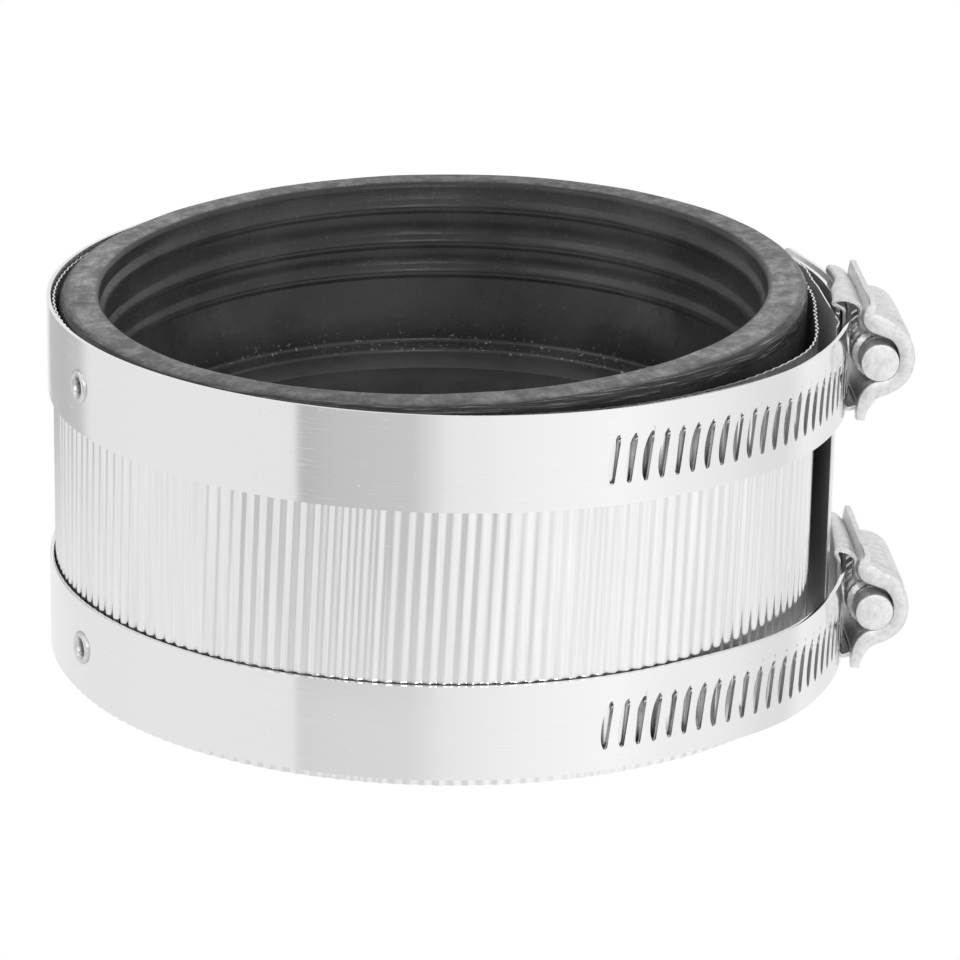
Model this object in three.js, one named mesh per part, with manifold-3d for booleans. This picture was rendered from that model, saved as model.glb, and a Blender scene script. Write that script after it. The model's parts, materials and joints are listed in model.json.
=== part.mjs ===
// Shielded pipe repair coupling: a rubber sleeve in a corrugated stainless shield, drawn tight by two
// worm-drive band clamps. Millimetres, +Z up along the pipe. Inside the group, the axis of the bands is
// x = y = 0 and z = 0 is the shield's lower edge; polar angles are in degrees from +X towards +Y.
import * as THREE from "three";
import { mergeVertices } from "three/addons/utils/BufferGeometryUtils.js";
import Module from "manifold-3d";

const wasm = await Module();
wasm.setup();

// Rubber sleeve, for drain pipe of 110 to 114 mm outside diameter
const BORE_R = 57;
const SLEEVE_R = 63.45;
const SLEEVE_HEIGHT = 64;
const SLEEVE_BOTTOM = 1.8;
const SLEEVE_SHIFT_X = -2.05;
const SLEEVE_OVAL = 1.9;
const STOP_HEIGHT = 4;
const STOP_DEPTH = 4;
const RIB_DEPTHS = [4.5, 11, 16.5];
const RIB_HALF_HEIGHT = 1.4;
const RIB_RISE = 1;

// Radial stack of bands and shield
const LAYER_GAP = 0.2;
const BAND_R = 68.05;
const BAND_THICKNESS = 0.65;
const BAND_WIDTH = 16.2;
const SHIELD_R = BAND_R - BAND_THICKNESS - LAYER_GAP;
const CORRUGATION_HEIGHT = 0.95;
const FLAT_END_THICKNESS = 0.4;
const SHIELD_HEIGHT = 63;
const OUTER_END_R = 66.6;
const OUTER_TIP_R = 67.7;
const OUTER_CHORD = 65.15;
const INNER_END_R = 62.7;
const INNER_TIP_LIFT = 1.8;
const FIXED_END_R = OUTER_END_R + LAYER_GAP + BAND_THICKNESS;

// Angles round the coupling
const ARC_STEP = 5;
const OUTER_CHORD_ANGLE = 6;
const SHIELD_OUTER_TIP = -13;
const SHIELD_OUTER_FLAT_TO = 9;
const SHIELD_INNER_FLAT_FROM = 371.5;
const SHIELD_INNER_TIP = 382.5;
const BAND_START = -5;
const TAIL_LEAVES = 381;
const TAIL_TIP = 391;
const EYELET_ANGLE = 208;

// Stretches of angle over which a radius changes, from the first angle to the second
const OUTER_END_MEETS_RING = [45, 65];
const INNER_END_TURNS_IN = [325, 348];
const INNER_TIP_LIFTS = [365, 385];
const FIXED_END_MEETS_RING = [40, 60];
const FREE_END_LEAVES_RING = [305, 330];

// Slots of the bands, one worm pitch apart
const SLOT_COUNT = 37;
const SLOT_FIRST = 293.6;
const SLOT_PITCH = 2.57;
const SLOT_WIDTH = 1.5;
const SLOT_LENGTH = 8.2;
const SLOT_SLANT = 8;

// Worm head: housing, saddle and screw, about a screw axis just outside the free end of the band
const HEAD_ANGLE = 3.6;
const HEAD_HALF_HEIGHT = 9.3;
const SCREW_OFFSET = 4.2;
const WORM_R = 4.1;
const WORM_PITCH = 3.1;
const THREAD_DEPTH = 0.9;
const WORM_FROM = -9.6;
const WORM_TO = 7.6;
const TIP_R = 3.3;
const TIP_FROM = -13.2;
const JOURNAL_R = 3.1;
const HEX_FROM = 10.6;
const HEX_LENGTH = 6.4;
const HEX_ACROSS_FLATS = 8;
const HEX_SLOT = 1.3;
const HEX_SLOT_DEPTH = 1.5;
const HOUSING_FROM = -12.2;
const HOUSING_TO = 10;
const HOUSING_WALL = 1.9;
const HOUSING_FOOT = -2;
const HOUSING_SHOULDER = 1.7;
const ARCH_R = 6;
const ARCH_SHOULDER_ANGLE = 22;
const COLLAR_R = TIP_R + 0.3;
const CAVITY_R = WORM_R + 0.35;
const SADDLE_HALF_ANGLE = 8.5;
const SADDLE_PLATE = 0.6;
const SADDLE_SIDE = 0.75;
const SADDLE_RISE = 0.95;

const EYELET_BARREL_R = 2;
const EYELET_HOLE_R = 1.4;
const EYELET_FLANGE_R = 2.8;
const EYELET_HEAD = 0.5;
const EYELET_CHAMFER = 0.25;
const EYELET_ROLL_R = 2.6;
const EYELET_ROLL = 0.35;
const EYELET_RUNNING_GAP = 0.3;

// How far a cutter reaches past the wall it cuts
const OVERRUN = 1;

// The looser lower clamp stands a little further off the shield under its worm.
const CLAMPS = [
  { name: "upper", bottom: 46.6, freeRadius: 69.4 },
  { name: "lower", bottom: 1.3, freeRadius: 70.4 },
];

const rubber = new THREE.MeshStandardMaterial({ color: 0x2b2b2c, roughness: 0.85, metalness: 0 });
const shieldSteel = new THREE.MeshStandardMaterial({ color: 0xb9bbbd, roughness: 0.28, metalness: 1 });
const bandSteel = new THREE.MeshStandardMaterial({ color: 0xd2d3d5, roughness: 0.18, metalness: 1 });
const pressedSteel = new THREE.MeshStandardMaterial({ color: 0xb2b3b4, roughness: 0.45, metalness: 1 });
const screwSteel = new THREE.MeshStandardMaterial({ color: 0xa2a3a4, roughness: 0.5, metalness: 1 });

const radians = THREE.MathUtils.degToRad;

function solidOf(geometry) {
  const bare = new THREE.BufferGeometry();
  bare.setAttribute("position", geometry.getAttribute("position"));
  bare.setIndex(geometry.getIndex());
  const merged = mergeVertices(bare, 1e-4);
  const vertProperties = new Float32Array(merged.getAttribute("position").array);
  const triVerts = new Uint32Array(merged.getIndex().array);
  return new wasm.Manifold(new wasm.Mesh({ numProp: 3, vertProperties, triVerts }));
}

function geometryOf(solid) {
  const { vertProperties, triVerts } = solid.getMesh();
  const geometry = new THREE.BufferGeometry();
  geometry.setAttribute("position", new THREE.BufferAttribute(vertProperties, 3));
  geometry.setIndex(new THREE.BufferAttribute(triVerts, 1));
  geometry.computeVertexNormals();
  return geometry;
}

function cutAll(geometry, cutters) {
  return geometryOf(cutters.reduce((solid, cutter) => solid.subtract(solidOf(cutter)), solidOf(geometry)));
}

function joinAll(geometries) {
  return geometryOf(geometries.map(solidOf).reduce((a, b) => a.add(b)));
}

function polar(radius, angle) {
  return new THREE.Vector2(radius * Math.cos(radians(angle)), radius * Math.sin(radians(angle)));
}

function blend(angle, [from, to]) {
  return THREE.MathUtils.smoothstep(angle, from, to);
}

// Angles from one end of a strip to the other, on whole steps in between.
function arcAngles(from, to, step) {
  const angles = [from];
  for (let angle = (Math.floor(from / step) + 1) * step; angle < to; angle += step) angles.push(angle);
  angles.push(to);
  return angles;
}

// A strip standing on its edge, between an inner and an outer radius that may change with the angle.
function strip(from, to, outerRadius, innerRadius, bottom, height, step = ARC_STEP) {
  const angles = arcAngles(from, to, step);
  const outline = angles.map((angle) => polar(outerRadius(angle), angle));
  for (const angle of angles.toReversed()) outline.push(polar(innerRadius(angle), angle));
  const geometry = new THREE.ExtrudeGeometry(new THREE.Shape(outline), { depth: height, bevelEnabled: false });
  return geometry.translate(0, 0, bottom);
}

// Stands a shape made along +Y on the ring, pointing outwards at an angle.
function pointOutwards(geometry, radius, angle, height) {
  return geometry.rotateZ(-Math.PI / 2).translate(radius, 0, 0).rotateZ(radians(angle)).translate(0, 0, height);
}

function radialPin(pinRadius, from, to, angle, height) {
  const pin = new THREE.CylinderGeometry(pinRadius, pinRadius, to - from, 20);
  return pointOutwards(pin, (from + to) / 2, angle, height);
}

function sleeve() {
  const half = SLEEVE_HEIGHT / 2;
  const below = [
    new THREE.Vector2(BORE_R - STOP_DEPTH, -STOP_HEIGHT / 2),
    new THREE.Vector2(BORE_R, -STOP_HEIGHT / 2),
  ];
  for (const depth of RIB_DEPTHS.toReversed()) {
    below.push(new THREE.Vector2(BORE_R, depth - half + RIB_HALF_HEIGHT));
    below.push(new THREE.Vector2(BORE_R - RIB_RISE, depth - half));
    below.push(new THREE.Vector2(BORE_R, depth - half - RIB_HALF_HEIGHT));
  }
  below.push(new THREE.Vector2(BORE_R, -half));
  below.push(new THREE.Vector2(SLEEVE_R, -half));
  const above = below.toReversed().map((point) => new THREE.Vector2(point.x, -point.y));
  const profile = [...below, ...above, below[0].clone()];
  const geometry = new THREE.LatheGeometry(profile, 48).rotateX(Math.PI / 2);
  const position = geometry.getAttribute("position");
  for (let i = 0; i < position.count; i++) {
    const x = position.getX(i);
    const y = position.getY(i);
    const radius = Math.hypot(x, y);
    const stretch = 1 + (SLEEVE_OVAL * (y / radius) ** 2) / radius;
    position.setXY(i, x * stretch, y * stretch);
  }
  return geometry.translate(SLEEVE_SHIFT_X, 0, SLEEVE_BOTTOM + half);
}

// The outer end springs straight, so it follows a chord; the inner end turns in below it.
function shieldOuterRadius(angle) {
  const chord = OUTER_CHORD / Math.cos(radians(angle - OUTER_CHORD_ANGLE));
  if (angle < OUTER_CHORD_ANGLE) return Math.min(chord, OUTER_TIP_R);
  if (angle < OUTER_END_MEETS_RING[0]) return Math.min(chord, OUTER_END_R);
  const outward = blend(angle, OUTER_END_MEETS_RING) * (SHIELD_R - OUTER_END_R);
  const inward = blend(angle, INNER_END_TURNS_IN) * (SHIELD_R - INNER_END_R);
  const lift = blend(angle, INNER_TIP_LIFTS) * INNER_TIP_LIFT;
  return OUTER_END_R + outward - inward + lift;
}

function shieldInnerRadius(angle) {
  const flat = angle < SHIELD_OUTER_FLAT_TO || angle > SHIELD_INNER_FLAT_FROM;
  return shieldOuterRadius(angle) - (flat ? FLAT_END_THICKNESS : CORRUGATION_HEIGHT);
}

function shield() {
  const sheet = strip(
    SHIELD_OUTER_TIP, SHIELD_INNER_TIP, shieldOuterRadius, shieldInnerRadius, 0, SHIELD_HEIGHT,
  );
  const inside = SHIELD_R - CORRUGATION_HEIGHT;
  const cutters = [];
  for (const clamp of CLAMPS) {
    const height = clamp.bottom + BAND_WIDTH / 2;
    const recess = inside + EYELET_ROLL + LAYER_GAP;
    const from = inside - OVERRUN;
    const barrelHole = EYELET_BARREL_R + EYELET_RUNNING_GAP;
    const rollHole = EYELET_ROLL_R + EYELET_RUNNING_GAP;
    cutters.push(radialPin(barrelHole, from, SHIELD_R + OVERRUN, EYELET_ANGLE, height));
    cutters.push(radialPin(rollHole, from, recess, EYELET_ANGLE, height));
  }
  return cutAll(sheet, cutters);
}

function bandRadius(angle, freeRadius) {
  const onShield = blend(angle, FIXED_END_MEETS_RING) * (BAND_R - FIXED_END_R);
  const free = blend(angle, FREE_END_LEAVES_RING) * (freeRadius - BAND_R);
  const tail = angle > TAIL_LEAVES ? 1 / Math.cos(radians(angle - TAIL_LEAVES)) : 1;
  return (FIXED_END_R + onShield + free) * tail;
}

function band(clamp) {
  const outer = (angle) => bandRadius(angle, clamp.freeRadius);
  const inner = (angle) => outer(angle) - BAND_THICKNESS;
  const loop = strip(BAND_START, TAIL_TIP, outer, inner, clamp.bottom, BAND_WIDTH);
  const middle = clamp.bottom + BAND_WIDTH / 2;
  const hole = EYELET_BARREL_R + EYELET_RUNNING_GAP;
  const from = BAND_R - BAND_THICKNESS - OVERRUN;
  const cutters = [radialPin(hole, from, BAND_R + OVERRUN, EYELET_ANGLE, middle)];
  for (let i = 0; i < SLOT_COUNT; i++) {
    const angle = SLOT_FIRST + i * SLOT_PITCH;
    const slot = new THREE.BoxGeometry(2 * BAND_THICKNESS, SLOT_WIDTH, SLOT_LENGTH);
    slot.rotateX(-radians(SLOT_SLANT)).translate(outer(angle) - BAND_THICKNESS / 2, 0, 0);
    cutters.push(slot.rotateZ(radians(angle)).translate(0, 0, middle));
  }
  return cutAll(loop, cutters);
}

function eyelet(height) {
  const head = BAND_R + LAYER_GAP;
  const roll = SHIELD_R - CORRUGATION_HEIGHT + EYELET_ROLL;
  const profile = [
    new THREE.Vector2(EYELET_HOLE_R, roll - EYELET_ROLL),
    new THREE.Vector2(EYELET_ROLL_R, roll - EYELET_ROLL),
    new THREE.Vector2(EYELET_ROLL_R, roll),
    new THREE.Vector2(EYELET_BARREL_R, roll),
    new THREE.Vector2(EYELET_BARREL_R, head),
    new THREE.Vector2(EYELET_FLANGE_R, head),
    new THREE.Vector2(EYELET_FLANGE_R - EYELET_CHAMFER, head + EYELET_HEAD),
    new THREE.Vector2(EYELET_HOLE_R + EYELET_CHAMFER, head + EYELET_HEAD),
    new THREE.Vector2(EYELET_HOLE_R, head + EYELET_HEAD - EYELET_CHAMFER),
    new THREE.Vector2(EYELET_HOLE_R, roll - EYELET_ROLL),
  ];
  return pointOutwards(new THREE.LatheGeometry(profile, 20), 0, EYELET_ANGLE, height);
}

// The head's pieces are made in its own frame: +X outwards through the screw, +Y along the screw
// towards the hex head, z = 0 at the middle of the band.
function housingOutline() {
  const outline = new THREE.Shape();
  const foot = HOUSING_FOOT;
  const arcEnd = -radians(ARCH_SHOULDER_ANGLE);
  outline.moveTo(HEAD_HALF_HEIGHT, foot);
  outline.lineTo(HEAD_HALF_HEIGHT, HOUSING_SHOULDER);
  outline.lineTo(ARCH_R * Math.cos(arcEnd), SCREW_OFFSET + ARCH_R * Math.sin(arcEnd));
  outline.absarc(0, SCREW_OFFSET, ARCH_R, arcEnd, Math.PI - arcEnd, false);
  outline.lineTo(-HEAD_HALF_HEIGHT, HOUSING_SHOULDER);
  outline.lineTo(-HEAD_HALF_HEIGHT, foot);
  outline.lineTo(-COLLAR_R, foot);
  outline.lineTo(-COLLAR_R, SCREW_OFFSET);
  outline.absarc(0, SCREW_OFFSET, COLLAR_R, Math.PI, 0, true);
  outline.lineTo(COLLAR_R, foot);
  outline.closePath();
  return outline;
}

function housing(freeRadius) {
  const options = { depth: HOUSING_TO - HOUSING_FROM, bevelEnabled: false, curveSegments: 14 };
  const upright = new THREE.Matrix4().makeBasis(
    new THREE.Vector3(0, 0, 1), new THREE.Vector3(1, 0, 0), new THREE.Vector3(0, 1, 0),
  );
  const cover = new THREE.ExtrudeGeometry(housingOutline(), options).applyMatrix4(upright);
  cover.translate(freeRadius, HOUSING_FROM, 0);
  const cavityLength = HOUSING_TO - HOUSING_FROM - 2 * HOUSING_WALL;
  const cavityMiddle = (HOUSING_TO + HOUSING_FROM) / 2;
  const cavity = new THREE.CylinderGeometry(CAVITY_R, CAVITY_R, cavityLength, 24);
  cavity.translate(freeRadius + SCREW_OFFSET, cavityMiddle, 0);
  const throatDepth = SCREW_OFFSET - 2 * HOUSING_FOOT;
  const throat = new THREE.BoxGeometry(throatDepth, cavityLength, 2 * CAVITY_R);
  throat.translate(freeRadius + SCREW_OFFSET - throatDepth / 2, cavityMiddle, 0);
  const clear = freeRadius + SADDLE_RISE + LAYER_GAP;
  const half = 2 * SADDLE_HALF_ANGLE;
  const tall = HEAD_HALF_HEIGHT + OVERRUN;
  const overSaddle = strip(-half, half, () => clear, () => clear - ARCH_R, -tall, 2 * tall, 2);
  return cutAll(cover, [cavity, throat, overSaddle]);
}

function saddle(freeRadius) {
  const top = freeRadius + SADDLE_RISE;
  const plateTop = freeRadius - BAND_THICKNESS - LAYER_GAP;
  const plateBottom = plateTop - SADDLE_PLATE;
  const half = SADDLE_HALF_ANGLE;
  const inside = HEAD_HALF_HEIGHT - SADDLE_SIDE;
  const block = strip(-half, half, () => top, () => plateBottom, -HEAD_HALF_HEIGHT, 2 * HEAD_HALF_HEIGHT, 3);
  const end = half + OVERRUN;
  const channel = strip(-end, end, () => top + OVERRUN, () => plateTop, -inside, 2 * inside, 3);
  return cutAll(block, [channel]);
}

// Right-handed worm: the crest advances one pitch along +Y for each turn about it.
function worm() {
  const sides = 16;
  const rings = 22;
  const positions = [];
  const index = [];
  for (let j = 0; j <= rings; j++) {
    const y = THREE.MathUtils.lerp(WORM_FROM, WORM_TO, j / rings);
    for (let i = 0; i < sides; i++) {
      const turn = i / sides;
      const wave = 0.5 + 0.5 * Math.cos(2 * Math.PI * (y / WORM_PITCH - turn));
      const radius = WORM_R - THREAD_DEPTH * (1 - wave);
      positions.push(radius * Math.sin(2 * Math.PI * turn), y, radius * Math.cos(2 * Math.PI * turn));
    }
  }
  for (let j = 0; j < rings; j++) {
    for (let i = 0; i < sides; i++) {
      const next = (i + 1) % sides;
      const a = j * sides + i;
      const b = j * sides + next;
      index.push(a, b, a + sides, b, b + sides, a + sides);
    }
  }
  const first = positions.length / 3;
  positions.push(0, WORM_FROM, 0, 0, WORM_TO, 0);
  for (let i = 0; i < sides; i++) {
    const next = (i + 1) % sides;
    index.push(first, next, i);
    index.push(first + 1, rings * sides + i, rings * sides + next);
  }
  const geometry = new THREE.BufferGeometry();
  geometry.setAttribute("position", new THREE.Float32BufferAttribute(positions, 3));
  geometry.setIndex(index);
  return geometry;
}

function turnedLength(radius, from, to, sides) {
  return new THREE.CylinderGeometry(radius, radius, to - from, sides).translate(0, (from + to) / 2, 0);
}

function screw(freeRadius) {
  const overlap = 0.3;
  const hexRadius = HEX_ACROSS_FLATS / 2 / Math.cos(Math.PI / 6);
  const body = joinAll([
    worm(),
    turnedLength(TIP_R, TIP_FROM, WORM_FROM + overlap, 24),
    turnedLength(JOURNAL_R, WORM_TO - overlap, HEX_FROM + overlap, 24),
    turnedLength(hexRadius, HEX_FROM, HEX_FROM + HEX_LENGTH, 6),
  ]);
  const slot = new THREE.BoxGeometry(2 * hexRadius + OVERRUN, 2 * HEX_SLOT_DEPTH, HEX_SLOT);
  slot.translate(0, HEX_FROM + HEX_LENGTH, 0);
  return cutAll(body, [slot]).translate(freeRadius + SCREW_OFFSET, 0, 0);
}

function piece(name, geometry, material) {
  const mesh = new THREE.Mesh(geometry, material);
  mesh.name = name;
  return mesh;
}

function clampHead(clamp) {
  const head = new THREE.Group();
  head.add(piece(`${clamp.name}_housing`, housing(clamp.freeRadius), pressedSteel));
  head.add(piece(`${clamp.name}_saddle`, saddle(clamp.freeRadius), pressedSteel));
  head.add(piece(`${clamp.name}_screw`, screw(clamp.freeRadius), screwSteel));
  head.rotation.z = radians(HEAD_ANGLE);
  head.position.z = clamp.bottom + BAND_WIDTH / 2;
  return head;
}

const coupling = new THREE.Group();
coupling.add(piece("rubber_sleeve", sleeve(), rubber));
coupling.add(piece("corrugated_shield", shield(), shieldSteel));
for (const clamp of CLAMPS) {
  coupling.add(piece(`${clamp.name}_band`, band(clamp), bandSteel));
  coupling.add(piece(`${clamp.name}_eyelet`, eyelet(clamp.bottom + BAND_WIDTH / 2), bandSteel));
  coupling.add(clampHead(clamp));
}
// The part's origin is the bottom centre of its bounding box.
const bounds = new THREE.Box3().setFromObject(coupling, true);
coupling.position.x = -(bounds.min.x + bounds.max.x) / 2;
coupling.position.y = -(bounds.min.y + bounds.max.y) / 2;

export default coupling;
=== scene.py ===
"""Looks of a shielded pipe coupling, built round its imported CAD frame.

Helpers work in millimetres in the coupling's own frame: the axis of the bands is x = y = 0, z is the
row's z, and polar angles are in degrees from +X towards +Y. place() turns that into metres in the row's
frame.
"""

import json
import math

import bmesh
import bpy
import numpy as np
from mathutils import Matrix, Vector


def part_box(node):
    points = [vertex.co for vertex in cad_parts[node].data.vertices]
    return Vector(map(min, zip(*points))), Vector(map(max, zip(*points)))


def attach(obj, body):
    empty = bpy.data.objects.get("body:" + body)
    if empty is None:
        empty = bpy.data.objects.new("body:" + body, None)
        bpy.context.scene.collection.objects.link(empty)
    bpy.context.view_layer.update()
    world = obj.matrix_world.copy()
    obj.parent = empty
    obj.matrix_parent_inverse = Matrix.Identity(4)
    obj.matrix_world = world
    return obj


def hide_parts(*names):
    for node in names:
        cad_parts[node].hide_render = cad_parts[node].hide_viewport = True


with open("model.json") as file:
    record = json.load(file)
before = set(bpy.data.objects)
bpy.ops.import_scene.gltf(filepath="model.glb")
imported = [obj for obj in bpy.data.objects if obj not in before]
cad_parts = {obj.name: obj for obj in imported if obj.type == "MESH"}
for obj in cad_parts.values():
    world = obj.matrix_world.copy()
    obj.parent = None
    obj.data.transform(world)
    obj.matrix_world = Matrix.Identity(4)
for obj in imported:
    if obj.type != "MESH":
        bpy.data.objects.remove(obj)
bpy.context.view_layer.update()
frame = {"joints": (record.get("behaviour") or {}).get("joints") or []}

MM = 0.001
TURN = 360.0
rng = np.random.default_rng(7)


# ---------------------------------------------------------------- places taken from the frame

JOINTS = {joint["name"]: joint for joint in frame["joints"]}
RING_AXIS = Vector(JOINTS["upper_take_up"]["pos_m"][:2] + [0.0])


def box_mm(node):
    """Lowest and highest corner of a CAD node in the coupling's frame."""
    low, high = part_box(node)
    return (np.array(low) - np.array(RING_AXIS)) / MM, (np.array(high) - np.array(RING_AXIS)) / MM


SLEEVE_LOW, SLEEVE_HIGH = box_mm("rubber_sleeve")
SHIELD_LOW, SHIELD_HIGH = box_mm("corrugated_shield")
SHIELD_R = SHIELD_HIGH[1]
BAND_R = box_mm("upper_band")[1][1]

# From the outer face of a band's free end to the axis of its screw.
SCREW_OFFSET = 4.2
BAND_THICKNESS = 0.65
LAYER_GAP = 0.2
EYELET_ANGLE = 208.0
EYELET_HOLE_R = 1.6
EYELET_FLANGE_R = 2.3
EYELET_ROLL = (0.55, 0.42)

# The tight upper band has ridden up a little on the side away from its head.
LIFTS = {"upper": 0.9, "lower": 0.0}


class Clamp:
    """One band clamp: its heights, the radius of its free end and the frame of its head."""

    def __init__(self, name):
        low, high = box_mm(name + "_band")
        screw_at = Vector(JOINTS[name + "_screw_turn"]["pos_m"]) - RING_AXIS
        self.name = name
        self.lift = LIFTS[name]
        self.bottom = low[2]
        self.width = high[2] - low[2]
        self.middle = (low[2] + high[2]) / 2
        self.screw_radius = Vector(screw_at[:2]).length / MM
        self.free_radius = self.screw_radius - SCREW_OFFSET
        self.head_angle = math.degrees(math.atan2(screw_at[1], screw_at[0]))


CLAMPS = [Clamp("upper"), Clamp("lower")]


# ---------------------------------------------------------------- mesh helpers

def polar(radius, angle, height):
    """Points at polar places, as an array of x, y, z rows."""
    radius, angle, height = np.broadcast_arrays(radius, np.radians(angle), height)
    return np.stack([radius * np.cos(angle), radius * np.sin(angle), height], axis=-1)


def grid_faces(rows, columns, wrap_rows=False, wrap_columns=False, start=0):
    """Quads of a grid of points stored row by row."""
    faces = []
    for i in range(rows if wrap_rows else rows - 1):
        for j in range(columns if wrap_columns else columns - 1):
            a = start + i * columns + j
            b = start + i * columns + (j + 1) % columns
            c = start + (i + 1) % rows * columns + (j + 1) % columns
            d = start + (i + 1) % rows * columns + j
            faces.append((a, b, c, d))
    return faces


def tube_faces(rings, sides):
    """Faces of a closed tube of rings with a cap at each end."""
    faces = grid_faces(rings, sides, wrap_columns=True)
    faces.append(tuple(range(sides)))
    faces.append(tuple(range(rings * sides - 1, (rings - 1) * sides - 1, -1)))
    return faces


def place(name, points, faces):
    """A mesh object from millimetre points in the coupling's frame."""
    mesh = bpy.data.meshes.new(name)
    metres = np.asarray(points, float).reshape(-1, 3) * MM + np.array(RING_AXIS)
    mesh.from_pydata(metres.tolist(), [], faces)
    mesh.validate()
    mesh.update()
    obj = bpy.data.objects.new(name, mesh)
    bpy.context.scene.collection.objects.link(obj)
    return obj


def modify(obj, kind, **settings):
    """Adds a modifier and applies it at once."""
    modifier = obj.modifiers.new(kind, kind)
    for key, value in settings.items():
        setattr(modifier, key, value)
    evaluated = obj.evaluated_get(bpy.context.evaluated_depsgraph_get())
    mesh = bpy.data.meshes.new_from_object(evaluated)
    obj.modifiers.clear()
    old = obj.data
    obj.data = mesh
    bpy.data.meshes.remove(old)
    mesh.name = obj.name
    return obj


def bevel(obj, width, segments=2, angle=30):
    """Rounds the edges sharper than an angle; width is in millimetres."""
    return modify(
        obj, "BEVEL", width=width * MM, segments=segments,
        limit_method="ANGLE", angle_limit=math.radians(angle), harden_normals=False,
    )


def smooth(obj, angle=35):
    """Smooth shading, with edges sharper than an angle left sharp."""
    mesh = obj.data
    mesh.shade_smooth()
    mesh.set_sharp_from_angle(angle=math.radians(angle))
    return obj


def outward(obj):
    """Makes the faces of a closed mesh point out."""
    work = bmesh.new()
    work.from_mesh(obj.data)
    bmesh.ops.recalc_face_normals(work, faces=work.faces)
    work.to_mesh(obj.data)
    work.free()
    return obj


def radial_cylinder(radius, low, high, angle, height, sides=40):
    """A closed cylinder along the radial direction at an angle."""
    turn = np.arange(sides) * 2 * math.pi / sides
    ring = list(zip(radius * np.cos(turn), radius * np.sin(turn)))
    local = [(r, across, up) for r in (low, high) for across, up in ring]
    points = np.array(local) @ np.array(Matrix.Rotation(math.radians(angle), 3, "Z")).T
    return place("cutter", points + (0, 0, height), tube_faces(2, sides))


def cut(obj, cutter):
    """Cuts one closed mesh from another and drops the cutter."""
    outward(cutter)
    modify(obj, "BOOLEAN", operation="DIFFERENCE", solver="EXACT", object=cutter)
    bpy.data.objects.remove(cutter)
    return obj


def finish_piece(obj, node, body, material):
    """Stands a piece in for a CAD node, on its body and with its finish."""
    obj.data.materials.clear()
    obj.data.materials.append(material)
    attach(obj, body)
    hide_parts(node)
    return obj


def spline(points, samples):
    """A Catmull-Rom curve through control rows of any width."""
    p = np.asarray(points, float)
    p = np.vstack([2 * p[0] - p[1], p, 2 * p[-1] - p[-2]])
    at = np.linspace(0, len(p) - 3 - 1e-9, samples)
    i = at.astype(int)
    t = (at - i)[:, None]
    a, b, c, d = p[i], p[i + 1], p[i + 2], p[i + 3]
    return 0.5 * (
        2 * b + (c - a) * t + (2 * a - 5 * b + 4 * c - d) * t**2 + (3 * b - a - 3 * c + d) * t**3
    )


def blend(value, low, high):
    """Smooth step from 0 at low to 1 at high."""
    t = np.clip((np.asarray(value, float) - low) / (high - low), 0, 1)
    return t * t * (3 - 2 * t)


# ---------------------------------------------------------------- rubber sleeve

SLEEVE_R = (SLEEVE_HIGH[0] - SLEEVE_LOW[0]) / 2
SLEEVE_X = (SLEEVE_HIGH[0] + SLEEVE_LOW[0]) / 2
SLEEVE_MIDDLE = (SLEEVE_LOW[2] + SLEEVE_HIGH[2]) / 2
SLEEVE_OVAL = (SLEEVE_HIGH[1] - SLEEVE_LOW[1]) / 2 - SLEEVE_R
BORE_R = 57.0
RIB_DEPTHS = (4.5, 11.0, 16.5)
RIB_RISE = 1.0
RIB_HALF_WIDTH = 1.5
# The squeezed rubber bulges a little towards the shield.
SLEEVE_BULGE = 0.5
STOP_HALF_HEIGHT = 2.0
STOP_DEPTH = 4.0
STOP_ROUND = 0.8
STOP_FILLET = 0.9
# Roundings of the rim, across the rim and down the wall.
RIM_INNER_ROUND = (1.3, 1.1)
RIM_OUTER_ROUND = (2.0, 1.7)
# Ripples round each rim: height, number of waves in a turn and phase in degrees.
RIM_RIPPLES = ((0.05, 5, 40), (0.04, 13, 0))
RIM_RIPPLES_REACH = 3
# Slope of the upper rim along x and y: the rubber is pushed down a little at the front left.
# The lower rim is level.
SLEEVE_LEAN = np.array([0.026, 0.024])


def rounded_corner(corner, start, end, steps=5):
    """Points of a quarter ellipse that rounds a corner between two tangent points."""
    corner, start, end = map(np.array, (corner, start, end))
    points = []
    for turn in np.linspace(0, math.pi / 2, steps):
        to_start = (start - corner) * (1 - math.sin(turn))
        to_end = (end - corner) * (1 - math.cos(turn))
        points.append(corner + to_start + to_end)
    return points


def sleeve_half_profile(half):
    """Radius and height from the sleeve's middle up its bore, over the rim and down its outer wall."""
    stop_r = BORE_R - STOP_DEPTH
    points = [np.array([stop_r, 0.0])]
    points += rounded_corner(
        (stop_r, STOP_HALF_HEIGHT),
        (stop_r, STOP_HALF_HEIGHT - STOP_ROUND),
        (stop_r + STOP_ROUND, STOP_HALF_HEIGHT),
    )
    points += rounded_corner(
        (BORE_R, STOP_HALF_HEIGHT),
        (BORE_R - STOP_FILLET, STOP_HALF_HEIGHT),
        (BORE_R, STOP_HALF_HEIGHT + STOP_FILLET),
    )
    for depth in reversed(RIB_DEPTHS):
        for t in np.linspace(-1, 1, 11):
            rise = RIB_RISE * math.cos(t * math.pi / 2) ** 1.2
            points.append(np.array([BORE_R - rise, half - depth + t * RIB_HALF_WIDTH]))
    across, down = RIM_INNER_ROUND
    points += rounded_corner((BORE_R, half), (BORE_R, half - down), (BORE_R + across, half))
    for share in np.linspace(0.3, 0.6, 4):
        points.append(np.array([BORE_R + share * (SLEEVE_R - BORE_R), half]))
    wall_r = SLEEVE_R + SLEEVE_BULGE
    across, down = RIM_OUTER_ROUND
    points += rounded_corner((wall_r, half), (SLEEVE_R - across, half), (wall_r, half - down), 10)
    points.append(np.array([wall_r, half / 2]))
    return points


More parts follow.
